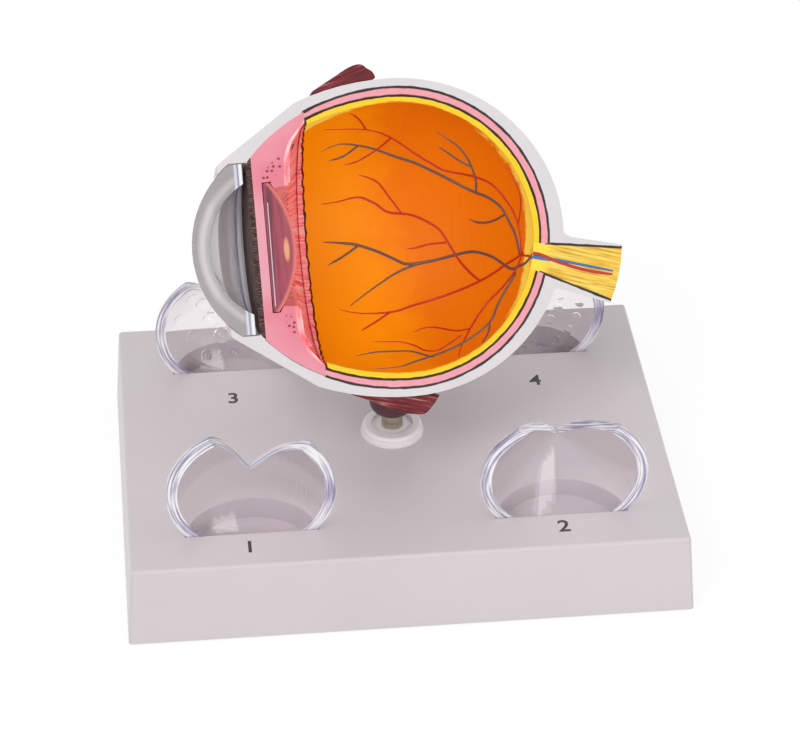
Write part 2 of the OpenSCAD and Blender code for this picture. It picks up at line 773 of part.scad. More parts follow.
// Flank of the cone from its tip to the skirt, sunk by drop: straight but for the bulge
function flank(r, drop, steps = 12) =
    let (fall = cone_h - disc_skirt)
    [for (i = [0 : steps])
        let (t = i == 0 ? 0 : (i + 0.5) / (steps + 0.5))
        [r * t, disc_skirt + fall * (1 - t) + 4 * cone_bulge * t * (1 - t) - drop * (1 - 0.7 * t)]];

module conical_cornea() {
    inner_r = disc_r - disc_rim_t;
    color("#e6e6f0", 0.4)
    at_disc(cone_place) notched(cone_roll)
        polygon(concat([[inner_r, 0], [disc_r, 0]], reversed(flank(disc_r, 0)), flank(inner_r, disc_wall)));
}

// Children are set round a ball's crown: its radius and centre, degrees off the crown, and how many
module round_crown(ball, middle, off, count, stagger = 0) {
    for (k = [0 : count - 1])
        rotate([-90, 0, 0]) translate([0, 0, middle])
            rotate([0, 0, 270 + notch_angle / 2 + (360 - notch_angle) * (k + 0.7) / (count + 0.4)])
                rotate([0, off + stagger * (k % 2), 0]) translate([0, 0, ball]) children();
}

module blistered_cornea() {
    ball = (disc_r * disc_r + pow(dome_h - disc_skirt, 2)) / (2 * (dome_h - disc_skirt));
    color("#e6e6f0", 0.4)
    at_disc(blistered_place) {
        notched(rear_roll) dome_section(dome_h, disc_wall);
        // Two rings of blisters: degrees off the crown, how many, radius
        for (ring = [[14, 6, blister_r], [28, 9, blister_r * 0.8]])
            round_crown(ball - ring[2] * 0.45, dome_h - ball, ring[0], ring[1], 4) sphere(r = ring[2]);
    }
}

module dimpled_cornea() {
    inner_r = disc_r - disc_rim_t;
    hollow_h = dome_h - thick_wall - disc_skirt / 2;
    ball = (inner_r * inner_r + hollow_h * hollow_h) / (2 * hollow_h);
    color("#e6e6f0", 0.4)
    at_disc(dimpled_place) difference() {
        notched(rear_roll) dome_section(dome_h, thick_wall);
        // Three rings of dimples in the hollow: degrees off the crown, how many
        for (ring = [[9, 6], [20, 11], [31, 15]])
            round_crown(ball, dome_h - thick_wall - ball, ring[0], ring[1]) sphere(r = dimple_r);
    }
}

base_housing();
bottom_cover();
cover_screws();
foot_front_left();
foot_front_right();
foot_rear_left();
foot_rear_right();
socket_ring();
support_pin();
support_stem();
sclera_shell();
choroid_layer();
retina_layer();
ciliary_body();
ciliary_processes();
iris();
lens();
cornea_on_eye();
optic_nerve();
nerve_artery();
nerve_vein();
arterial_trunks();
arterial_branches();
venous_trunks();
venous_branches();
superior_rectus();
inferior_rectus();
lateral_rectus();
normal_cornea();
conical_cornea();
blistered_cornea();
dimpled_cornea();
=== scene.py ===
"""Looks for the eye anatomy model: half an eye on a pin, above a base with four loose corneas."""

import math

import bpy
from mathutils import Matrix, Vector


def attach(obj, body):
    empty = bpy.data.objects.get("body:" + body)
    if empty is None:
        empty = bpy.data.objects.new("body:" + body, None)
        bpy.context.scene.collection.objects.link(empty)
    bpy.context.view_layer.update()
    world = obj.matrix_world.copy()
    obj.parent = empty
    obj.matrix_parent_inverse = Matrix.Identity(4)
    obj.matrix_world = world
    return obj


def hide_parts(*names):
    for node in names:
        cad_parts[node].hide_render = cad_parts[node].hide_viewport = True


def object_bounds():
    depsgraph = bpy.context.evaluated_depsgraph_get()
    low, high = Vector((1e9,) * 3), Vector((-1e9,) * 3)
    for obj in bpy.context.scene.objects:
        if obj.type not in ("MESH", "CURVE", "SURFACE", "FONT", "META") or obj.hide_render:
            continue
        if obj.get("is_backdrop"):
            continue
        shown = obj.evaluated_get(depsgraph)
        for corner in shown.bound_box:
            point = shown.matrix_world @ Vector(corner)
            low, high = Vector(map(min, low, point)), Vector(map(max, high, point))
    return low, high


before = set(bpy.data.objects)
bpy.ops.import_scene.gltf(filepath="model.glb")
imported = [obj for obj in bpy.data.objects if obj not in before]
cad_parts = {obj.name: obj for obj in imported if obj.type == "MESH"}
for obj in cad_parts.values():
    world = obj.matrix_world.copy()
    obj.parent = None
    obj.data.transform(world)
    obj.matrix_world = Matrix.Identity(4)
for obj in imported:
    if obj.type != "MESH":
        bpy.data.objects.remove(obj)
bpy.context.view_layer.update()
bpy.ops.object.select_all(action="DESELECT")

# ---------- Table, lamps and camera ----------
# The model stands on a plain white table under two soft studio lamps and a pale room. The
# camera looks down at it from in front, a little from the left.

MM = 0.001


def paint(red, green, blue):
    """A colour from its display values of 0 to 255."""
    linear = []
    for value in (red, green, blue):
        share = value / 255
        linear.append(share / 12.92 if share <= 0.04045 else ((share + 0.055) / 1.055) ** 2.4)
    return (*linear, 1)


class Wire:
    """An output of a node. Sums with wires and numbers add the Math nodes that work them out."""

    def __init__(self, finish, socket):
        self.finish = finish
        self.socket = socket

    def sum(self, operation, *terms):
        """Any Math node."""
        return self.finish.node("Math", {"operation": operation}, dict(enumerate(terms)))

    def beside(self, output):
        """Another output of the same node."""
        return Wire(self.finish, self.socket.node.outputs[output])

    def rise(self, low, high):
        """A soft step from 0 to 1 between two values."""
        ends = {"Value": self, "From Min": low, "From Max": high}
        return self.finish.node("MapRange", {"interpolation_type": "SMOOTHSTEP"}, ends)

    def __add__(self, other):
        return self.sum("ADD", self, other)

    def __sub__(self, other):
        return self.sum("SUBTRACT", self, other)

    def __rsub__(self, other):
        return self.sum("SUBTRACT", other, self)

    def __mul__(self, other):
        return self.sum("MULTIPLY", self, other)

    def __pow__(self, other):
        return self.sum("POWER", self, other)

    def __gt__(self, other):
        return self.sum("GREATER_THAN", self, other)

    def __lt__(self, other):
        return self.sum("LESS_THAN", self, other)

    def __abs__(self):
        return self.sum("ABSOLUTE", self)

    __radd__ = __add__


class Finish:
    """A material or the world, and the nodes in it."""

    def __init__(self, owner):
        self.owner = owner
        owner.use_nodes = True
        self.tree = owner.node_tree
        self.tree.nodes.clear()

    def node(self, kind, settings=None, sockets=None, output=0):
        """A new node. Settings are its own properties, and sockets take values or wires."""
        made = self.tree.nodes.new("ShaderNode" + kind)
        for name, value in (settings or {}).items():
            if name == "stops":
                while len(made.color_ramp.elements) < len(value):
                    made.color_ramp.elements.new(1.0)
                for stop, (place, colour) in zip(made.color_ramp.elements, value):
                    stop.position = place
                    stop.color = colour
            else:
                setattr(made, name, value)
        for name, value in (sockets or {}).items():
            if isinstance(value, Wire):
                self.tree.links.new(value.socket, made.inputs[name])
            else:
                made.inputs[name].default_value = value
        return Wire(self, made.outputs[output] if made.outputs else None)

    def blend(self, share, low, high):
        """A colour between two."""
        return self.node("Mix", {"data_type": "RGBA"}, {0: share, 6: low, 7: high}, 2)

    def noise(self, place, scale, detail=2.0):
        """Clouds from 0 to 1."""
        sockets = {"Vector": place, "Scale": scale, "Detail": detail}
        return self.node("TexNoise", {}, sockets)

    def place(self, frame_of=None):
        """Millimetres in the row frame, or in a frame given by its matrix."""
        matrix = frame_of or Matrix.Identity(4)
        sockets = {
            "Vector": self.node("TexCoord", output="Object"),
            "Location": matrix.translation,
            "Rotation": matrix.to_euler(),
            "Scale": (MM, MM, MM),
        }
        return self.node("Mapping", {"vector_type": "TEXTURE"}, sockets)

    def parts(self, place):
        """The three numbers of a place."""
        x = self.node("SeparateXYZ", {}, {0: place})
        return x, x.beside("Y"), x.beside("Z")

    def surface(self, sockets, relief=None, depth=0.0):
        """The plastic, paint or metal: relief is a height from 0 to 1, depth its millimetres."""
        if relief is not None:
            bump = {"Height": relief, "Distance": depth * MM}
            sockets = dict(sockets, Normal=self.node("Bump", {}, bump))
        skin = self.node("BsdfPrincipled", {}, sockets)
        self.node("OutputMaterial", {}, {"Surface": skin})


def is_seen(finish):
    """1 where it is looked at, whether straight, in a reflection or through clear plastic."""
    ray = finish.node("LightPath", output="Is Camera Ray")
    return ray + ray.beside("Is Glossy Ray") + ray.beside("Is Transmission Ray")


white = paint(255, 255, 255)
table_finish = Finish(bpy.data.materials.new("table_white"))
matt_white = table_finish.node("BsdfDiffuse", {}, {"Color": paint(240, 240, 240)})
lit_white = table_finish.node("Emission", {}, {"Color": white, "Strength": 1.06})
shares = {0: is_seen(table_finish) * 0.8, 1: matt_white, 2: lit_white}
table_top = table_finish.node("MixShader", {}, shares)
table_finish.node("OutputMaterial", {}, {"Surface": table_top})
bpy.ops.mesh.primitive_plane_add(size=14, location=(0, 0, 0))
table = bpy.context.object
table.name = "table"
table.data.materials.append(table_finish.owner)
table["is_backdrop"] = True

room = Finish(bpy.context.scene.world or bpy.data.worlds.new("room"))
bpy.context.scene.world = room.owner
room_light = 0.7
strength = room_light + is_seen(room) * (1 - room_light)
air = room.node("Background", {}, {"Color": white, "Strength": strength})
room.node("OutputWorld", {}, {"Surface": air})

lamp_aim = Vector((0, 0, 0.06))


def lamp(name, place, size, power):
    """A square lamp that is turned to the model."""
    bpy.ops.object.light_add(type="AREA", location=place)
    made = bpy.context.object
    made.name = name
    made.data.shape = "SQUARE"
    made.data.size = size
    made.data.energy = power
    made.rotation_euler = (lamp_aim - Vector(place)).to_track_quat("-Z", "Y").to_euler()


lamp("key_lamp", (-0.55, -0.75, 1.05), 0.6, 5.3)
lamp("fill_lamp", (0.55, -1.02, 0.39), 0.56, 2.6)

camera_place = (-0.07510, -0.77729, 0.58843)
camera_lens = 143.18
camera_turn = math.radians(-5.694)
camera_height = math.radians(34.701)
camera_aim = (math.pi / 2 - camera_height, 0, camera_turn)
bpy.ops.object.camera_add(location=camera_place, rotation=camera_aim)
camera = bpy.context.object
camera.data.lens = camera_lens
bpy.context.scene.camera = camera
bpy.context.scene.view_settings.view_transform = "Standard"

# ---------- Base ----------
# One glossy moulding in pale grey-white plastic, with drafted sides and soft edges. A grey
# cover is screwed under it, and it stands on four rubber feet.

base_plastic = Finish(bpy.data.materials.new("base_plastic"))
here = base_plastic.place()
cloud = base_plastic.noise(here, 0.02)
flow = base_plastic.noise(here, 0.25, 1.0)
base_plastic.surface(
    {
        "Base Color": base_plastic.blend(cloud, paint(203, 193, 196), paint(211, 204, 207)),
        "Roughness": 0.29 + cloud * 0.1,
        "IOR": 1.5,
    },
    relief=flow,
    depth=0.03,
)

cover_plastic = Finish(bpy.data.materials.new("cover_plastic"))
grain = cover_plastic.noise(cover_plastic.place(), 3.0)
cover_plastic.surface(
    {
        "Base Color": cover_plastic.blend(grain, paint(150, 150, 152), paint(172, 172, 174)),
        "Roughness": 0.5 + grain * 0.2,
    },
    relief=grain,
    depth=0.05,
)

screw_steel = Finish(bpy.data.materials.new("screw_steel"))
brushing = screw_steel.noise(screw_steel.place(), 6.0)
screw_steel.surface(
    {
        "Base Color": screw_steel.blend(brushing, paint(150, 150, 152), paint(190, 190, 192)),
        "Metallic": 1.0,
        "Roughness": 0.3 + brushing * 0.2,
    }
)

foot_rubber = Finish(bpy.data.materials.new("foot_rubber"))
grain = foot_rubber.noise(foot_rubber.place(), 4.0)
foot_rubber.surface(
    {
        "Base Color": foot_rubber.blend(grain, paint(45, 45, 47), paint(66, 66, 68)),
        "Roughness": 0.75 + grain * 0.15,
    },
    relief=grain,
    depth=0.08,
)


def dress(node, finish):
    """A CAD node keeps its shape and gets a finish."""
    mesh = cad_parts[node].data
    mesh.materials.clear()
    mesh.materials.append(finish.owner)


dress("base_housing", base_plastic)
dress("bottom_cover", cover_plastic)
dress("cover_screws", screw_steel)
for corner in ("front_left", "front_right", "rear_left", "rear_right"):
    dress("foot_" + corner, foot_rubber)

# ---------- Socket ring and pin ----------
# A stepped white bush is pressed into the base. A nickel-plated pin turns in it and carries
# the stem, which is dark maroon plastic with a round lower end.

ring_plastic = Finish(bpy.data.materials.new("ring_plastic"))
cloud = ring_plastic.noise(ring_plastic.place(), 0.3)
ring_plastic.surface(
    {
        "Base Color": ring_plastic.blend(cloud, paint(232, 224, 228), paint(244, 238, 241)),
        "Roughness": 0.29 + cloud * 0.1,
        "Coat Weight": 0.3,
    }
)
dress("socket_ring", ring_plastic)

pin_nickel = Finish(bpy.data.materials.new("pin_nickel"))
turned_marks = {"Vector": pin_nickel.place(), "Scale": (0.2, 0.2, 6.0)}
rings = pin_nickel.noise(pin_nickel.node("Mapping", {}, turned_marks), 1.5)
pin_nickel.surface(
    {
        "Base Color": pin_nickel.blend(rings, paint(178, 168, 146), paint(206, 198, 182)),
        "Metallic": 1.0,
        "Roughness": 0.28 + rings * 0.12,
    }
)
dress("support_pin", pin_nickel)

stem_plastic = Finish(bpy.data.materials.new("stem_plastic"))
grain = stem_plastic.noise(stem_plastic.place(), 0.8)
stem_plastic.surface(
    {
        "Base Color": stem_plastic.blend(grain, paint(72, 38, 44), paint(96, 56, 62)),
        "Roughness": 0.35 + grain * 0.2,
    },
    relief=grain,
    depth=0.1,
)
dress("support_stem", stem_plastic)

# ---------- White shell ----------
# Half of a globe moulded in satin white plastic, cut and tilted back, with the flared sheath of
# the nerve. Its wall is thickest at the back, where it is drawn out a little. The border to the
# pink layer is a thin black line, drawn by hand on the cut face.

# In the eye's frame, X is up, Y goes behind the cut and Z points to the front. In the nerve's
# frame, Z runs along it to its end.
eye_frame = (
    Matrix.Translation((2.7 * MM, 0, 94.2 * MM))
    @ Matrix.Rotation(math.radians(5), 4, "Z")
    @ Matrix.Rotation(math.radians(-35), 4, "X")
    @ Matrix.Rotation(math.radians(1.2 - 90), 4, "Y")
)
nerve_frame = (
    eye_frame
    @ Matrix.Translation((-8.917 * MM, 0, -40.223 * MM))
    @ Matrix.Rotation(math.radians(196.7), 4, "Y")
)
ball_radius = 46.3
pink_outside, pink_inside = 43.7, 41.2
oval_nose = 52.5
layers_end = 25.3
nerve_radius, nerve_widening = 4.1, 0.161
back_stretch = 1.041
ink_black = paint(30, 13, 11)


def off_oval(across, front, radius):
    """Millimetres outside an oval: a ball behind its middle, drawn out to its nose in front."""
    shrink = radius / oval_nose
    drawn = front.sum("MINIMUM", front, 0.0) + front.sum("MAXIMUM", front, 0.0) * shrink
    reach = drawn * drawn
    for part in across:
        reach = reach + part * part
    return reach**0.5 - radius


def pen_line(finish, off, width, here):
    """Share of a line drawn by hand where off is near 0."""
    waver = finish.noise(here, 0.4, 3.0) - 0.5
    pressed = abs(off + waver * 0.4) - finish.noise(here, 0.15) * width * 0.5
    return 1 - pressed.rise(width * 0.1, width * 0.4)


def off_nerve(finish):
    """Millimetres outside the nerve, and the distance along it."""
    x, y, along = finish.parts(finish.place(nerve_frame))
    return (x * x + y * y) ** 0.5 - along * nerve_widening - nerve_radius, along


def settle(piece, frame_of):
    """Moves a piece from its own frame into the model, with its place in its mesh."""
    bpy.ops.object.select_all(action="DESELECT")
    piece.select_set(True)
    bpy.context.view_layer.objects.active = piece
    piece.matrix_world = frame_of
    bpy.ops.object.transform_apply(location=True, rotation=True, scale=True)
    return piece


def stand_for(piece, body, finish, *nodes):
    """A finished piece rides on its body in place of CAD nodes."""
    piece.data.materials.clear()
    piece.data.materials.append(finish.owner)
    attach(piece, body)
    if nodes:
        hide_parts(*nodes)


sclera_white = Finish(bpy.data.materials.new("sclera_white"))
here = sclera_white.place(eye_frame)
up, behind, front = sclera_white.parts(here)
cloud = sclera_white.noise(here, 0.05)
off, along = off_nerve(sclera_white)
border = off_oval((up, behind), front, pink_outside)
behind_wedge = 1 - front.rise(layers_end, layers_end + 1)
layer_line = pen_line(sclera_white, border, 0.75, here) * behind_wedge
lower_line = pen_line(sclera_white, border, 0.4, here) * (up < 0.0) * (front < 42.0)
sheath_line = pen_line(sclera_white, off, 0.75, here) * (along > 2.4)
lines = up.sum("MAXIMUM", layer_line, lower_line * 0.7)
sclera_white.surface(
    {
        "Base Color": sclera_white.blend(
            up.sum("MAXIMUM", lines, sheath_line),
            sclera_white.blend(cloud, paint(208, 202, 204), paint(219, 215, 216)),
            ink_black,
        ),
        "Roughness": 0.36 + cloud * 0.15,
        "Specular IOR Level": 0.4,
    },
    relief=sclera_white.noise(here, 0.3, 1.0),
    depth=0.08,
)
shell = bpy.data.objects.new("white_shell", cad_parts["sclera_shell"].data.copy())
bpy.context.collection.objects.link(shell)
settle(shell, eye_frame.inverted())
bpy.ops.object.mode_set(mode="EDIT")
bpy.ops.mesh.select_all(action="SELECT")
bpy.ops.mesh.remove_doubles(threshold=0.001 * MM)
bpy.ops.mesh.customdata_custom_splitnormals_clear()
bpy.ops.object.mode_set(mode="OBJECT")
# The wall's outside is drawn out behind, except where the nerve's flare rises from it.
to_nerve = (eye_frame.inverted() @ nerve_frame).inverted()
for point in shell.data.vertices:
    on_outside = point.co.length > (ball_radius - 0.8) * MM
    clear_of_nerve = (to_nerve @ point.co).xy.length > (nerve_radius + 1.5) * MM
    if point.co.z < 0 and on_outside and clear_of_nerve:
        from_centre = Vector((*point.co.xy, point.co.z / back_stretch)).length
        point.co *= max(1.0, ball_radius * MM / from_centre)
bpy.ops.object.shade_smooth_by_angle(angle=math.radians(30))
stand_for(settle(shell, eye_frame), "eye", sclera_white, "sclera_shell")

# ---------- Pink layer ----------
# The layer under the white shell, brushed on in pink between two black lines.

choroid_pink = Finish(bpy.data.materials.new("choroid_pink"))
here = choroid_pink.place(eye_frame)
up, behind, front = choroid_pink.parts(here)
brushed = choroid_pink.noise(here, 0.5, 3.0)
outer_line = pen_line(choroid_pink, off_oval((up, behind), front, pink_outside), 0.75, here)
inner_line = pen_line(choroid_pink, off_oval((up, behind), front, pink_inside), 0.75, here)
choroid_pink.surface(
    {
        "Base Color": choroid_pink.blend(
            up.sum("MAXIMUM", outer_line, inner_line),
            choroid_pink.blend(brushed, paint(228, 142, 155), paint(240, 164, 172)),
            ink_black,
        ),
        "Roughness": 0.42,
    },
    relief=brushed,
    depth=0.06,
)
dress("choroid_layer", choroid_pink)

# ---------- Bowl ----------
# The innermost layer is painted yellow at the cut and orange inside, darker towards the nerve.
# The orange overlaps the yellow by hand, and a serrated dark line ends it behind the lens.


def striated(finish, up, behind, front):
    """Red and pink strokes that run from the lens outwards."""
    turn = up.sum("ARCTAN2", behind, up)
    reach = (up * up + behind * behind) ** 0.5
    strokes = {0: turn * 62.0, 1: reach * 0.12, 2: front * 0.2}
    fine = finish.noise(finish.node("CombineXYZ", {}, strokes), 1.0, 2.0)
    wide = {0: turn * 17.0, 1: reach * 0.1, 2: front * 0.1}
    broad = finish.noise(finish.node("CombineXYZ", {}, wide), 1.0, 1.0)
    stops = [
        (0.3, paint(138, 26, 38)),
        (0.37, paint(244, 90, 104)),
        (0.47, paint(255, 146, 152)),
        (0.64, paint(255, 204, 206)),
    ]
    mix = fine * 0.75 + broad * 0.25
    return finish.node("ValToRGB", {"stops": stops}, {"Fac": mix}), fine


retina_paint = Finish(bpy.data.materials.new("retina_paint"))
here = retina_paint.place(eye_frame)
up, behind, front = retina_paint.parts(here)
ora_front = 25.0
brushed = retina_paint.noise(here, 0.12, 3.0)
nerve_side = (brushed * 16.0 + up * 0.12 - front).rise(-2.0, 20.0)
orange = retina_paint.blend(nerve_side, paint(252, 158, 0), paint(234, 126, 2))
band_widths = [
    (0.15, 2.1), (0.25, 1.7), (0.36, 1.7), (0.44, 2.5), (0.475, 2.9),
    (0.54, 2.25), (0.625, 2.0), (0.75, 1.5), (0.85, 2.7),
]
stops = [(stop, (width / 5, width / 5, width / 5, 1)) for stop, width in band_widths]
round_axis = up.sum("ARCTAN2", up, front * -1.0) * (0.5 / math.pi) + 0.5
band = retina_paint.node("ValToRGB", {"stops": stops}, {"Fac": round_axis}) * 5.0
brush_edge = (retina_paint.noise(here, 0.35, 3.0) - 0.5) * 0.9
inward = off_oval((up,), front, pink_inside) * -1.0 + brush_edge
yellow = retina_paint.blend(brushed, paint(240, 194, 36), paint(248, 212, 60))
# Behind the cut face the yellow is painted paler: painted light that makes up for the shade on the
# bowl's wall.
yellow = retina_paint.blend(behind.rise(0.1, 1.5), yellow, paint(255, 242, 96))
wash = retina_paint.blend((inward - band).rise(-0.12, 0.25), yellow, orange)
deep = behind * (up * up + behind * behind + 0.01) ** -0.5
serration = up.sum("SINE", up.sum("ARCTAN2", behind, up) * 46.0 + brushed * 9.0) * 0.13
ora_end = front - ora_front + deep * 1.75 + serration + (retina_paint.noise(here, 0.5) - 0.5) * 0.8
strokes, _ = striated(retina_paint, up, behind, front)
inner_paint = retina_paint.blend(ora_end.rise(-0.05, 0.15), wash, strokes)
ora_line = 1 - abs(ora_end).rise(0.22, 0.4)
inner_paint = retina_paint.blend(ora_line, inner_paint, paint(88, 26, 14))
inner_line = pen_line(retina_paint, off_oval((up, behind), front, pink_inside), 0.7, here)
inner_line = inner_line * (behind < 0.3)
retina_paint.surface(
    {
        "Base Color": retina_paint.blend(inner_line, inner_paint, ink_black),
        "Roughness": 0.5 + brushed * 0.1,
        "Specular IOR Level": 0.16,
    },
    relief=retina_paint.noise(here, 0.8, 2.0),
    depth=0.03,
)
dress("retina_layer", retina_paint)

# ---------- Pink wedge and its red strokes ----------
# The ring that carries the lens is pink and glossy, with a few dark red dots where its muscle is
# cut. Behind it lies a ridged band with red and pink strokes brushed across it.

ciliary_pink = Finish(bpy.data.materials.new("ciliary_pink"))
here = ciliary_pink.place(eye_frame)
up, behind, front = ciliary_pink.parts(here)
brushed = ciliary_pink.noise(here, 0.16, 2.0)
outer_edge = off_oval((up, behind), front, pink_outside)
# The pink is painted paler towards the white shell as painted light, mixed half and half with
# random brushed tone.
painted_light_and_brush = outer_edge.rise(-9.0, 0.5) * 0.5 + brushed * 0.5
flesh = ciliary_pink.blend(painted_light_and_brush, paint(218, 106, 126), paint(230, 150, 164))
by_lens = front.rise(36.5, 39.5) * (1 - abs(up).rise(10.0, 20.0))
flesh = ciliary_pink.blend(by_lens * 0.7, flesh, paint(226, 164, 176))
strokes, _ = striated(ciliary_pink, up, behind, front)
flesh = ciliary_pink.blend(behind.rise(0.5, 1.0), flesh, strokes)
cell_place = ciliary_pink.node("CombineXYZ", {}, {0: up * 0.62, 1: front * 0.55})
cells = ciliary_pink.node(
    "TexVoronoi",
    {"voronoi_dimensions": "2D"},
    {"Vector": cell_place, "Scale": 1.0, "Randomness": 0.8},
)
spots = 0.0
for high, forward, slope, length, width in (
    (21.9, 35.7, math.radians(-41.8), 5.4, 1.9),
    (-22.6, 33.8, math.radians(206.1), 3.2, 1.4),
):
    high_off, forward_off = up - high, front - forward
    lengthwise = high_off * (math.cos(slope) / length) + forward_off * (math.sin(slope) / length)
    crosswise = forward_off * (math.cos(slope) / width) - high_off * (math.sin(slope) / width)
    spots = (lengthwise * lengthwise + crosswise * crosswise < 1.0) + spots
spots = spots * (1 - cells.rise(0.2, 0.28))
ciliary_pink.surface(
    {
        "Base Color": ciliary_pink.blend(spots, flesh, paint(150, 22, 50)),
        "Roughness": 0.3 + brushed * 0.1,
        "Coat Weight": 0.3,
        "Coat Roughness": 0.2,
    },
    relief=brushed,
    depth=0.12,
)
dress("ciliary_body", ciliary_pink)

process_red = Finish(bpy.data.materials.new("process_red"))
here = process_red.place(eye_frame)
up, behind, front = process_red.parts(here)
strokes, fine = striated(process_red, up, behind, front)
process_red.surface({"Base Color": strokes, "Roughness": 0.34}, relief=fine, depth=0.3)
dress("ciliary_processes", process_red)

# ---------- Iris ----------
# A dark brown disc that stands in front of the lens. Fine pale hairs are brushed slantwise over
# its cut edge.

iris_brown = Finish(bpy.data.materials.new("iris_brown"))
here = iris_brown.place(eye_frame)
slant = {"Vector": here, "Rotation": (0, 0.95, 0), "Scale": (3.0, 3.0, 0.5)}
hairs = iris_brown.noise(iris_brown.node("Mapping", {}, slant), 1.0, 3.0)
pale_hairs = hairs.rise(0.44, 0.64)
iris_brown.surface(
    {
        "Base Color": iris_brown.blend(pale_hairs, paint(34, 16, 14), paint(112, 78, 72)),
        "Roughness": 0.5,
        "Specular IOR Level": 0.3,
    },
    relief=hairs,
    depth=0.15,
)
dress("iris", iris_brown)

# ---------- Lens ----------
# A half lens in clear acrylic with a purple-pink tint. It is polished all round and set in the
# pink ring.

lens_acrylic = Finish(bpy.data.materials.new("lens_acrylic"))
here = lens_acrylic.place(eye_frame)
up, behind, front = lens_acrylic.parts(here)
# Dark streaks in the purple tint are painted reflections.
stretch = lens_acrylic.node("CombineXYZ", {}, {0: up * 0.035, 1: behind * 0.2, 2: front * 0.75})
reflection_streaks = lens_acrylic.noise(stretch, 1.0, 3.0)
depth_in = front.rise(32.0, 38.5)
body = lens_acrylic.blend(reflection_streaks.rise(0.42, 0.56), paint(66, 10, 34), paint(150, 50, 78))
body = lens_acrylic.blend(0.25 + depth_in * 0.5, paint(186, 76, 92), body)
# Near the back surface the lens is painted orange-pink, standing in for the bowl's colours seen
# through it.
back_radius, back_centre = 30.2, 61.0
from_centre = (up * up + (front - back_centre) * (front - back_centre)) ** 0.5
from_back = back_radius - from_centre
body = lens_acrylic.blend(1 - from_back.rise(0.25, 1.3), body, paint(228, 118, 110))
# A soft orange glare is painted on the lens: a painted highlight.
glare_up, glare_front = (up + 0.9) * 0.24, (front - 33.6) * 0.95
painted_glare = 1 - (glare_up * glare_up + glare_front * glare_front).rise(0.15, 1.0)
body = lens_acrylic.blend(painted_glare * 0.85, body, paint(252, 176, 128))
# A thin white line of painted highlight runs down near the front face.
painted_highlight = (1 - abs(front - 38.1 + up * 0.008).rise(0.07, 0.2)) * (abs(up + 2.0) < 15.0)
lens_acrylic.surface(
    {
        "Base Color": lens_acrylic.blend(painted_highlight * 0.8, body, paint(246, 230, 240)),
        "Roughness": 0.12,
        "Transmission Weight": 0.12,
        "IOR": 1.3,
        "Coat Weight": 1.0,
        "Coat Roughness": 0.04,
    }
)
dress("lens", lens_acrylic)

# ---------- Nerve ----------
# The nerve is yellow with pale fibres along it and a black line down each side. A red and a blue
# vessel are painted along its middle.

nerve_yellow = Finish(bpy.data.materials.new("nerve_yellow"))
here = nerve_yellow.place(nerve_frame)
x, y, along = nerve_yellow.parts(here)
grain = {"Vector": here, "Scale": (1.6, 1.6, 0.09)}
fibres = nerve_yellow.noise(nerve_yellow.node("Mapping", {}, grain), 1.0, 3.0)
off, _ = off_nerve(nerve_yellow)
side_line = pen_line(nerve_yellow, off, 0.8, nerve_yellow.place(eye_frame)) * (along > 0.9)
stops = [
    (0.34, paint(200, 142, 34)),
    (0.46, paint(230, 184, 48)),
    (0.62, paint(243, 212, 96)),
]
fibre_colour = nerve_yellow.node("ValToRGB", {"stops": stops}, {"Fac": fibres})
fibre_colour = nerve_yellow.blend(along.rise(1.2, 4.2), paint(248, 214, 60), fibre_colour)
nerve_yellow.surface(
    {
        "Base Color": nerve_yellow.blend(side_line, fibre_colour, ink_black),
        "Roughness": 0.45,
    },
    relief=fibres,
    depth=0.2,
)
dress("optic_nerve", nerve_yellow)


def enamel(name, colour):
    """Glossy line paint, a little thinner in places."""
    finish = Finish(bpy.data.materials.new(name))
    thin = finish.noise(finish.place(), 0.6, 2.0)
    paler = tuple(part * 0.82 + 0.02 for part in colour[:3]) + (1,)
    finish.surface({"Base Color": finish.blend(thin, colour, paler), "Roughness": 0.32})
    return finish


artery_enamel = enamel("artery_enamel", paint(196, 24, 12))
vein_enamel = enamel("vein_enamel", paint(98, 84, 88))
nerve_vein_enamel = enamel("nerve_vein_enamel", paint(62, 108, 166))


def through(route, steps=4):
    """A smooth line through the points of a route."""
    line = []
    for index in range(len(route) - 1):
        before, start = route[max(index - 1, 0)], route[index]
        end, after = route[index + 1], route[min(index + 2, len(route) - 1)]
        for step in range(steps):
            t = step / steps
            line.append(
                tuple(
                    (2 * b + (c - a) * t + (2 * a - 5 * b + 4 * c - d) * t * t
                     + (3 * b - a - 3 * c + d) * t**3) / 2
                    for a, b, c, d in zip(before, start, end, after)
                )
            )
    return line + [route[-1]]


def drawn(name, routes, thickness, tip=0.3):
    """Tapered strokes along routes of millimetre points, whose fourth number is a width."""
    bpy.ops.curve.primitive_nurbs_path_add()
    strokes = bpy.context.object
    strokes.name = name
    shape = strokes.data
    shape.splines.clear()
    for route in routes:
        stroke = shape.splines.new("POLY")
        stroke.points.add(len(route) - 1)
        for index, (point, place) in enumerate(zip(stroke.points, route)):
            share = index / (len(route) - 1)
            point.co = (*(part * MM for part in place[:3]), 1)
            point.radius = (tip + (1 - tip) * min(1, 3.5 * share)) * (*place, 1)[3]
    shape.bevel_depth = thickness * MM
    shape.bevel_resolution = 2
    shape.use_fill_caps = True
    bpy.ops.object.convert(target="MESH")
    strokes = bpy.context.object
    bpy.ops.object.shade_smooth()
    return strokes


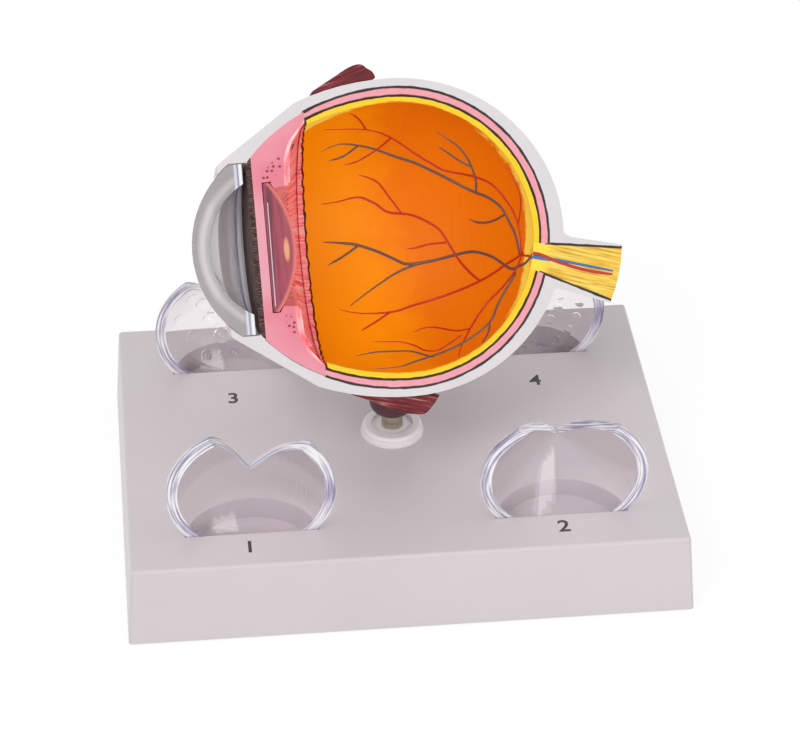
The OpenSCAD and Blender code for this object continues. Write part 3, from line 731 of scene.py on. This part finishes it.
nerve_routes = {
    "nerve_artery": [
        [(-0.5, 0.1, -2.0, 0.9), (-0.7, 0.2, -0.8, 1), (-0.5, 0.25, 1.6, 1), (-0.1, 0.3, 3.6, 1),
         (0.5, 0.3, 8, 1), (0.8, 0.3, 11.7, 1), (0.8, 0.3, 16.8, 1), (0.4, 0.3, 22.4, 0.8)],
    ],
    "nerve_vein": [
        [(0.7, 0.2, -2.2, 0.7), (0.3, 0.6, -1.0, 1.5), (0.2, 0.75, 1.2, 1.7), (0.1, 0.6, 3.0, 1.4),
         (-0.2, 0.3, 5.0, 0.9), (-0.3, 0.3, 8, 0.9), (-0.4, 0.3, 12, 0.9), (-0.5, 0.3, 16, 0.9),
         (-0.6, 0.3, 22.4, 0.7)],
    ],
}
for node, finish in (("nerve_artery", artery_enamel), ("nerve_vein", nerve_vein_enamel)):
    strokes = [through(route) for route in nerve_routes[node]]
    stand_for(settle(drawn(node + "_line", strokes, 0.58, 1), nerve_frame), "eye", finish, node)

# ---------- Vessels of the bowl ----------
# Red arteries and grey veins fan out from the nerve over the bowl, brushed on as tapered enamel
# lines. Routes are degrees round the axis from the top and degrees from the back pole.

bowl_radius = 39.2
bowl_routes = {
    "arterial_trunks": [
        [(23, 110), (27, 104), (31, 95), (38, 85), (46, 75), (51, 67), (54, 59), (52, 44),
         (52, 36), (57, 29), (67, 22), (83, 18), (104, 17), (126, 18), (150, 14), (177, 13)],
        [(69, 110), (69, 104), (68, 97), (71, 92), (76, 86), (78, 75), (84, 65), (90, 61),
         (104, 55), (119, 47)],
        [(120, 107), (122, 100), (122, 88), (120, 78), (119, 60), (119, 39), (119, 31),
         (122, 24), (126, 18)],
        [(172, 68), (159, 64), (149, 58), (142, 52), (137, 45), (136, 37), (135, 30),
         (134, 25), (128, 18)],
    ],
    "arterial_branches": [
        [(11, 102), (21, 98), (31, 95)],
        [(51, 102), (50, 97), (45, 91), (38, 85)],
        [(19, 31), (19, 25), (27, 19), (42, 16), (64, 16), (83, 18)],
        [(57, 97), (61, 91), (68, 86), (77, 80)],
        [(93, 79), (93, 75), (92, 69), (92, 61)],
        [(132, 101), (122, 90)],
        [(135, 82), (134, 76), (137, 70), (144, 63), (148, 57)],
        [(139, 98), (140, 89), (144, 83), (150, 79), (153, 74), (151, 68), (149, 62)],
    ],
    "venous_trunks": [
        [(40, 110), (38, 104), (41, 97), (48, 85), (52, 74), (55, 67), (61, 52), (63, 45),
         (64, 38), (69, 30), (81, 25), (97, 21), (122, 20)],
        [(87, 110), (88, 104), (90, 97), (97, 85), (100, 79), (100, 67)],
        [(118, 103), (112, 97), (105, 88), (101, 77), (100, 67), (99, 54), (100, 47),
         (105, 40), (112, 35), (121, 31), (130, 27), (137, 22), (158, 15), (178, 12)],
        [(166, 100), (163, 92), (159, 86), (157, 77), (157, 62), (156, 48), (148, 42),
         (143, 37), (140, 31), (138, 26)],
    ],
    "venous_branches": [
        [(47, 107), (46, 102), (41, 97)],
        [(29, 66), (32, 61), (35, 55), (41, 50), (48, 47), (56, 45), (63, 45)],
        [(40, 64), (42, 60), (45, 54), (46, 48)],
        [(80, 49), (82, 45), (82, 39), (79, 33), (74, 28)],
        [(98, 109), (94, 103), (90, 98)],
        [(156, 48), (166, 51), (175, 56)],
        [(151, 105), (147, 98), (147, 90), (149, 84), (158, 77)],
    ],
}


def on_bowl(turn, tilt):
    """The point of the bowl's wall in a direction."""
    turn, tilt = math.radians(turn), math.radians(tilt)
    depth = oval_nose if tilt > math.pi / 2 else bowl_radius
    return (
        bowl_radius * math.sin(tilt) * math.cos(turn),
        bowl_radius * math.sin(tilt) * math.sin(turn),
        -depth * math.cos(tilt),
    )


for node, thickness, finish in (
    ("arterial_trunks", 0.36, artery_enamel),
    ("arterial_branches", 0.29, artery_enamel),
    ("venous_trunks", 0.44, vein_enamel),
    ("venous_branches", 0.34, vein_enamel),
):
    lines = [[on_bowl(*step) for step in through(route)] for route in bowl_routes[node]]
    strokes = settle(drawn(node + "_lines", lines, thickness), eye_frame)
    stand_for(strokes, "eye", finish, node)

# ---------- Muscles ----------
# Three straps in dark red plastic lie on the globe in front and end in a rounded cut behind. Pale
# fibres are brushed along them.


def rounded(outline):
    """A closed outline with its corners cut."""
    cut = []
    for here, there in zip(outline, outline[1:] + outline[:1]):
        for share in (0.25, 0.75):
            cut.append(tuple(a + (b - a) * share for a, b in zip(here, there)))
    return cut


def turned(name, section, angle, steps):
    """A solid spun about Z from a section of [across, along] points in millimetres."""
    bpy.ops.object.select_all(action="DESELECT")
    bpy.ops.mesh.primitive_plane_add(size=MM)
    piece = bpy.context.object
    piece.name = name
    bpy.ops.object.mode_set(mode="EDIT")
    bpy.ops.mesh.select_all(action="SELECT")
    bpy.ops.mesh.merge(type="CENTER")
    bpy.ops.transform.translate(value=(section[0][0] * MM, 0, section[0][1] * MM))
    for here, there in zip(section, section[1:]):
        step = ((there[0] - here[0]) * MM, 0, (there[1] - here[1]) * MM)
        bpy.ops.mesh.extrude_region_move(TRANSFORM_OT_translate={"value": step})
    bpy.ops.mesh.select_all(action="SELECT")
    bpy.ops.mesh.edge_face_add()
    bpy.ops.mesh.spin(steps=steps, angle=angle, center=(0, 0, 0), axis=(0, 0, 1))
    bpy.ops.mesh.select_all(action="SELECT")
    bpy.ops.mesh.remove_doubles(threshold=0.002 * MM)
    bpy.ops.mesh.normals_make_consistent(inside=False)
    bpy.ops.object.mode_set(mode="OBJECT")
    return piece


muscle_red = Finish(bpy.data.materials.new("muscle_red"))
here = muscle_red.place(eye_frame)
up, behind, front = muscle_red.parts(here)
reach = (up * up + behind * behind) ** 0.5
fibre_place = {
    0: (reach * 1.5 + front * 0.42) * (1 - behind.rise(0.3, 1.2) * 0.8),
    1: up.sum("ARCTAN2", behind, up) * 40.0,
    2: front * 0.08 - reach * 0.02,
}
fibres = muscle_red.noise(muscle_red.node("CombineXYZ", {}, fibre_place), 1.0, 3.0)
stops = [
    (0.34, paint(66, 12, 18)),
    (0.46, paint(98, 22, 29)),
    (0.6, paint(126, 34, 40)),
    (0.73, paint(196, 128, 126)),
]
muscle_red.surface(
    {
        "Base Color": muscle_red.node("ValToRGB", {"stops": stops}, {"Fac": fibres}),
        "Roughness": 0.4,
        "Specular IOR Level": 0.3,
    },
    relief=fibres,
    depth=0.4,
)

# A section holds distances from the eye's axis and to the front. It is spun by the strap's width
# in degrees, and the third strap's middle lies straight behind the cut.
upper_section = [
    (43.5, 23.3), (46.0, 18.9), (47.9, 15.4), (49.5, 12.7), (50.7, 10.1), (51.1, 8.1), (50.7, 6.7),
    (49.7, 5.8), (48.8, 4.3), (47.6, 3.6), (46.4, 3.4), (45.9, 8.8), (45.0, 14.5), (43.8, 19.8),
]
lower_section = [
    (43.8, 19.6), (46.3, 13.4), (48.9, 8.0), (51.2, 2.6), (51.7, -1.1), (51.7, -2.9), (49.6, -5.1),
    (47.5, -6.8), (46.2, -7.6), (46.4, -3.0), (46.4, 2.2), (46.0, 7.2), (45.2, 13.0),
]
for node, section, side, width, start in (
    ("superior_rectus", upper_section, 1, 13, 0),
    ("inferior_rectus", lower_section, -1, 13, 0),
    ("lateral_rectus", upper_section, 1, 26, 77),
):
    outline = [(across * side, along) for across, along in rounded(section)]
    muscle = turned(node + "_strap", outline, -side * math.radians(width), width)
    bpy.ops.object.modifier_add(type="BEVEL")
    muscle.modifiers[0].width = 0.4 * MM
    muscle.modifiers[0].segments = 2
    muscle.modifiers[0].angle_limit = math.radians(60)
    bpy.ops.object.modifier_apply(modifier=muscle.modifiers[0].name)
    bpy.ops.object.shade_smooth_by_angle(angle=math.radians(50))
    turn = Matrix.Rotation(math.radians(start), 4, "Z")
    stand_for(settle(muscle, eye_frame @ turn), "eye", muscle_red, node)

# ---------- Corneas ----------
# The cornea on the eye and the four loose ones are moulded in clear acrylic. Their rims and cut
# faces are a little rougher, and painted purplish grey with white and dark streaks that stand in
# for the reflections in them. The one on the eye is thicker and a little milky.


def clear_plastic(finish, clear, milky, share, light_through):
    """Clear plastic with a share of milky or rough plastic, that lets light through behind it."""
    polished = finish.node("BsdfPrincipled", {}, clear)
    frosted = finish.node("BsdfPrincipled", {}, milky)
    skin = finish.node("MixShader", {}, {0: share, 1: polished, 2: frosted})
    tint = (light_through, light_through, light_through, 1)
    passing = finish.node("BsdfTransparent", {}, {"Color": tint})
    shadow = finish.node("LightPath", output="Is Shadow Ray")
    mixed = finish.node("MixShader", {}, {0: shadow * 0.9, 1: skin, 2: passing})
    finish.node("OutputMaterial", {}, {"Surface": mixed})


eye_acrylic = Finish(bpy.data.materials.new("eye_acrylic"))
here = eye_acrylic.place(eye_frame)
up, behind, front = eye_acrylic.parts(here)
haze = eye_acrylic.noise(here, 0.12, 2.0)
rim_place = {0: up * 0.03, 1: behind * 0.2, 2: front * 1.9}
streaks = eye_acrylic.noise(eye_acrylic.node("CombineXYZ", {}, rim_place), 1.0, 2.0)
# The rim is painted in pale, white and dark streaks: painted reflections.
rim_reflections = [
    (0.0, paint(206, 206, 222)), (0.12, paint(250, 250, 254)), (0.3, paint(236, 236, 244)),
    (0.42, paint(96, 100, 124)), (0.54, paint(196, 196, 212)), (0.7, paint(226, 226, 234)),
    (0.86, paint(150, 150, 168)), (1.0, paint(214, 213, 219)),
]
rim_back = 44.6
forward = (front - rim_back) * 0.33 + (streaks - 0.5) * 0.3
rim_colour = eye_acrylic.node("ValToRGB", {"stops": rim_reflections}, {"Fac": forward})
cut_face = 1 - behind.rise(0.05, 0.4)
hollow_radius, hollow_centre = 22.9, 34.0
ahead = front - hollow_centre
from_centre = (up * up + behind * behind + ahead * ahead) ** 0.5
from_hollow = from_centre - hollow_radius
# A pale band is painted on the cut face beside the hollow: a painted reflection of light caught
# inside the wall.
reflection_band = from_hollow.rise(-0.6, 1.0) * (1 - from_hollow.rise(1.0, 2.8))
outside = from_hollow.rise(0.4, 1.4)
cut_colour = eye_acrylic.blend(reflection_band, paint(150, 143, 144), paint(194, 186, 186))
# Off the cut face the milky plastic is painted paler: painted light that makes up for the shade
# inside the hollow.
shell_colour = eye_acrylic.blend(cut_face, paint(240, 228, 226), cut_colour)
shell_colour = eye_acrylic.blend(haze * 0.35, shell_colour, paint(188, 181, 183))
rim = 1 - front.rise(rim_back + 2, rim_back + 3)
milky_wall = up.sum("MAXIMUM", cut_face * 0.85, 0.5 - outside * 0.38)
clear_plastic(
    eye_acrylic,
    {
        "Base Color": paint(250, 250, 252),
        "Roughness": 0.08,
        "Transmission Weight": 1.0,
        "IOR": 1.06,
        "Coat Weight": 1.0,
        "Coat Roughness": 0.03,
    },
    {
        "Base Color": eye_acrylic.blend(rim, shell_colour, rim_colour),
        "Roughness": 0.3,
        "Coat Weight": 1.0,
        "Coat Roughness": 0.03,
    },
    up.sum("MAXIMUM", rim * 0.75, milky_wall),
    0.95,
)
dress("cornea_on_eye", eye_acrylic)

base_top = 25.4
centre_height = 15.4
disc_radius = 24.5
notch_half = 36.5
for node, x, y, lean, roll in (
    ("normal_cornea", -45.2, -46.6, 5.5, 8),
    ("conical_cornea", 45.2, -46.6, 9, 1.5),
    ("blistered_cornea", -45.2, 36.4, 5.5, 0),
    ("dimpled_cornea", 45.2, 36.4, 5.5, 0),
):
    rim_frame = (
        Matrix.Translation((x * MM, y * MM, base_top * MM))
        @ Matrix.Rotation(math.radians(lean), 4, "X")
        @ Matrix.Translation((0, 0, centre_height * MM))
    )
    disc_acrylic = Finish(bpy.data.materials.new(node + "_acrylic"))
    here = disc_acrylic.place(rim_frame)
    across, behind, up = disc_acrylic.parts(here)
    reach = (across * across + up * up) ** 0.5
    outer_edge = reach.rise(disc_radius - 1.1, disc_radius - 0.3)
    edge = up.sum("MAXIMUM", 1 - behind.rise(0.1, 0.4), outer_edge)
    for side in (-1, 1):
        turn = math.radians(roll + side * notch_half)
        from_cut = across * math.cos(turn) - up * math.sin(turn)
        along_cut = across * math.sin(turn) + up * math.cos(turn)
        edge = up.sum("MAXIMUM", edge, (1 - abs(from_cut).rise(0.05, 0.2)) * (along_cut > 1.0))
    if node == "conical_cornea":
        wall = reach * 0.64 + behind * 0.77
    else:
        wall = (reach * reach + (behind + 18.0) * (behind + 18.0)) ** 0.5
    edge_place = {0: up.sum("ARCTAN2", across, up) * 1.6, 1: wall * 2.2, 2: behind * 0.12}
    streaks = disc_acrylic.noise(disc_acrylic.node("CombineXYZ", {}, edge_place), 1.0, 2.0)
    # Rims, cut faces and notch edges are painted in purplish grey and white streaks: painted
    # reflections.
    edge_reflections = [
        (0.36, paint(138, 132, 168)),
        (0.47, paint(196, 191, 212)),
        (0.6, paint(255, 255, 255)),
    ]
    clear_plastic(
        disc_acrylic,
        {
            "Base Color": paint(237, 232, 235),
            "Roughness": 0.02,
            "Transmission Weight": 1.0,
            "IOR": 1.09,
            "Coat Weight": 1.0,
            "Coat Roughness": 0.02,
        },
        {
            "Base Color": disc_acrylic.node("ValToRGB", {"stops": edge_reflections}, {"Fac": streaks}),
            "Roughness": 0.2,
            "Coat Weight": 1.0,
            "Coat Roughness": 0.05,
        },
        edge * 0.8,
        0.92,
    )
    dress(node, disc_acrylic)

# ---------- Numbers ----------
# A plain dark number is printed in front of each cornea's pocket. The ink is worn a little.

ink_print = Finish(bpy.data.materials.new("ink_print"))
worn = ink_print.noise(ink_print.place(), 2.5, 2.0)
ink_print.surface(
    {"Base Color": ink_print.blend(worn, paint(40, 37, 40), paint(62, 58, 62)), "Roughness": 0.5}
)
for number, x, y in ((1, -46.3, -55.6), (2, 45.0, -54.8), (3, -46.9, 19.0), (4, 46.6, 19.4)):
    bpy.ops.object.select_all(action="DESELECT")
    bpy.ops.object.text_add()
    digit = bpy.context.object
    digit.name = "number_%d" % number
    digit.data.body = str(number)
    digit.data.size = 7.5 * MM
    digit.data.align_x = "CENTER"
    digit.data.extrude = 0.02 * MM
    digit.data.offset = 0.12 * MM
    bpy.ops.object.convert(target="MESH")
    spot = Matrix.Translation((x * MM, y * MM, (base_top + 0.01) * MM))
    stand_for(settle(bpy.context.object, spot), "base", ink_print)

# ---------- Sizes ----------
low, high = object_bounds()
